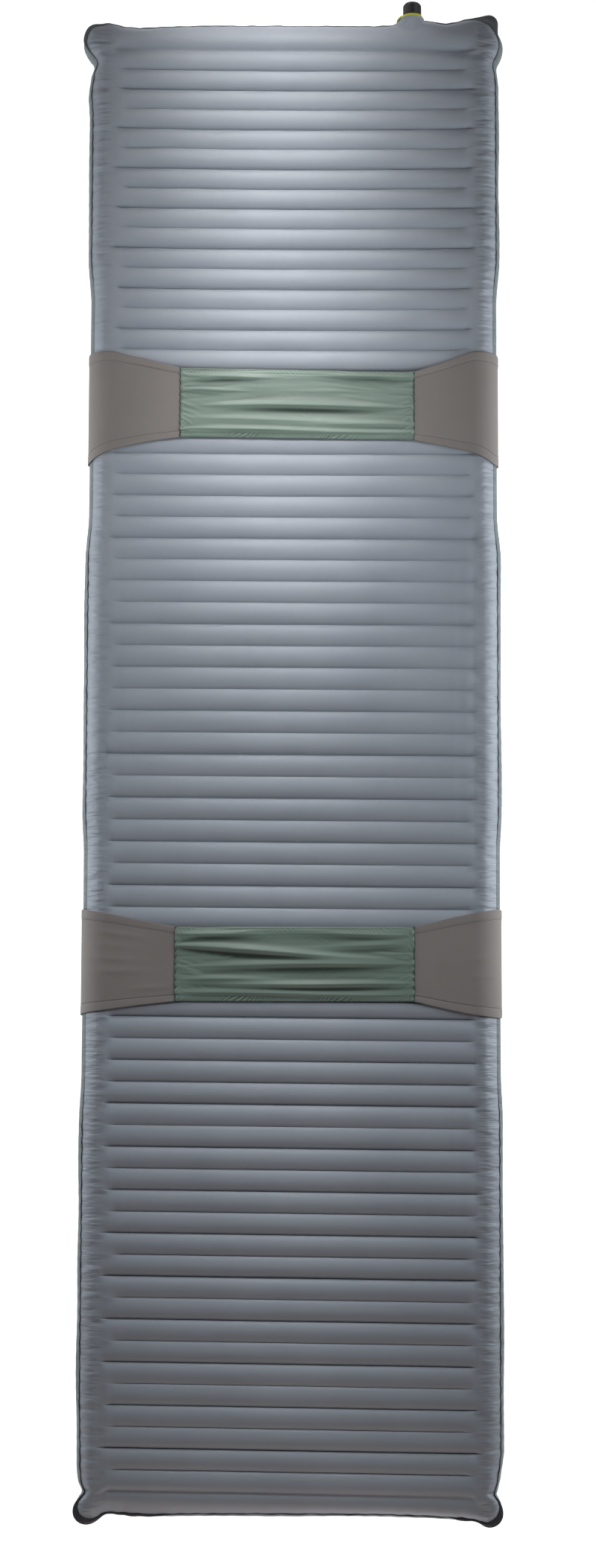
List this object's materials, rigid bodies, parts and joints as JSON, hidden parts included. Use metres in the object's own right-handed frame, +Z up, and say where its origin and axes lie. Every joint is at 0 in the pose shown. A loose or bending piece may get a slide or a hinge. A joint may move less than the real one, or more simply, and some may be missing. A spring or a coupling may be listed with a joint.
{
  "type": "inflatable sleeping pad",
  "caption": "Rectangular air pad with welded cross tubes, a film core, a twist valve at the head end and two stretch straps that hold bedding on it.",
  "frame": {"origin": "middle of the resting face, on the crest of the middle tube", "axes": "+Y along the pad to its head end, +Z up out of the lying face, +X to the valve's side of the pad"},
  "size_m": [0.521, 1.8615, 0.0661],
  "materials": {
    "upper_fabric": "satin coated nylon, fine weave",
    "lower_fabric": "satin coated nylon, slightly blue",
    "weld": "heat-welded edge, semi-gloss",
    "film": "metallised film, semi-gloss",
    "black_plastic": "moulded, ribbed",
    "yellow_plastic": "moulded, semi-gloss",
    "grey_plastic": "moulded",
    "seal_rubber": "moulded",
    "steel": "drawn pin",
    "stretch_fabric": "matt stretch knit",
    "woven_fabric": "glossy woven taffeta, gathered"
  },
  "bodies": {
    "pad": {"upper_sheet": "upper_fabric", "lower_sheet": "lower_fabric", "edge_weld": "weld", "core_middle_film": "film", "core_upper_web": "film", "core_lower_web": "film", "valve_neck": "upper_fabric", "valve_base": "grey_plastic", "flap_seat": "grey_plastic", "flap_pin": "steel", "grit_screen": "grey_plastic"},
    "valve_body": {"valve_barrel": "grey_plastic", "wing_ring": "yellow_plastic", "barrel_seal": "seal_rubber"},
    "plunger": {"valve_plunger": "grey_plastic", "plunger_seal": "seal_rubber"},
    "knob": {"valve_knob": "black_plastic"},
    "flap": {"check_flap": "seal_rubber"},
    "head_strap": {"head_strap_centre_panel": "woven_fabric", "head_strap_wing_left": "stretch_fabric", "head_strap_wing_right": "stretch_fabric", "head_strap_back_panel": "woven_fabric", "head_strap_hem_cord_head_side": "woven_fabric", "head_strap_hem_cord_foot_side": "woven_fabric"},
    "foot_strap": {"foot_strap_centre_panel": "woven_fabric", "foot_strap_wing_left": "stretch_fabric", "foot_strap_wing_right": "stretch_fabric", "foot_strap_back_panel": "woven_fabric", "foot_strap_hem_cord_head_side": "woven_fabric", "foot_strap_hem_cord_foot_side": "woven_fabric"}
  },
  "joints": [
    {"name": "wing_turn", "type": "hinge", "parent": "pad", "child": "valve_body", "pos_m": [0.147, 0.9204, 0.0506], "axis": [0, 1, 0], "range_deg": [0, 90]},
    {"name": "plunger_lift", "type": "slide", "parent": "valve_body", "child": "plunger", "axis": [0, 1, 0], "range_m": [0, 0.003]},
    {"name": "knob_turn", "type": "hinge", "parent": "plunger", "child": "knob", "pos_m": [0.147, 0.9304, 0.0506], "axis": [0, 1, 0], "range_deg": [0, 270]},
    {"name": "flap_open", "type": "hinge", "parent": "pad", "child": "flap", "pos_m": [0.147, 0.889, 0.0414], "axis": [1, 0, 0], "range_deg": [0, 50]},
    {"name": "head_strap_slide", "type": "slide", "parent": "pad", "child": "head_strap", "axis": [0, 1, 0], "range_m": [-0.06, 0.06]},
    {"name": "foot_strap_slide", "type": "slide", "parent": "pad", "child": "foot_strap", "axis": [0, 1, 0], "range_m": [-0.06, 0.06]}
  ],
  "couplings": [
    {"joint": "flap_open", "follows": "wing_turn", "ratio": 0.5555},
    {"joint": "knob_turn", "follows": "plunger_lift", "rad_per_m": 1570.7}
  ]
}
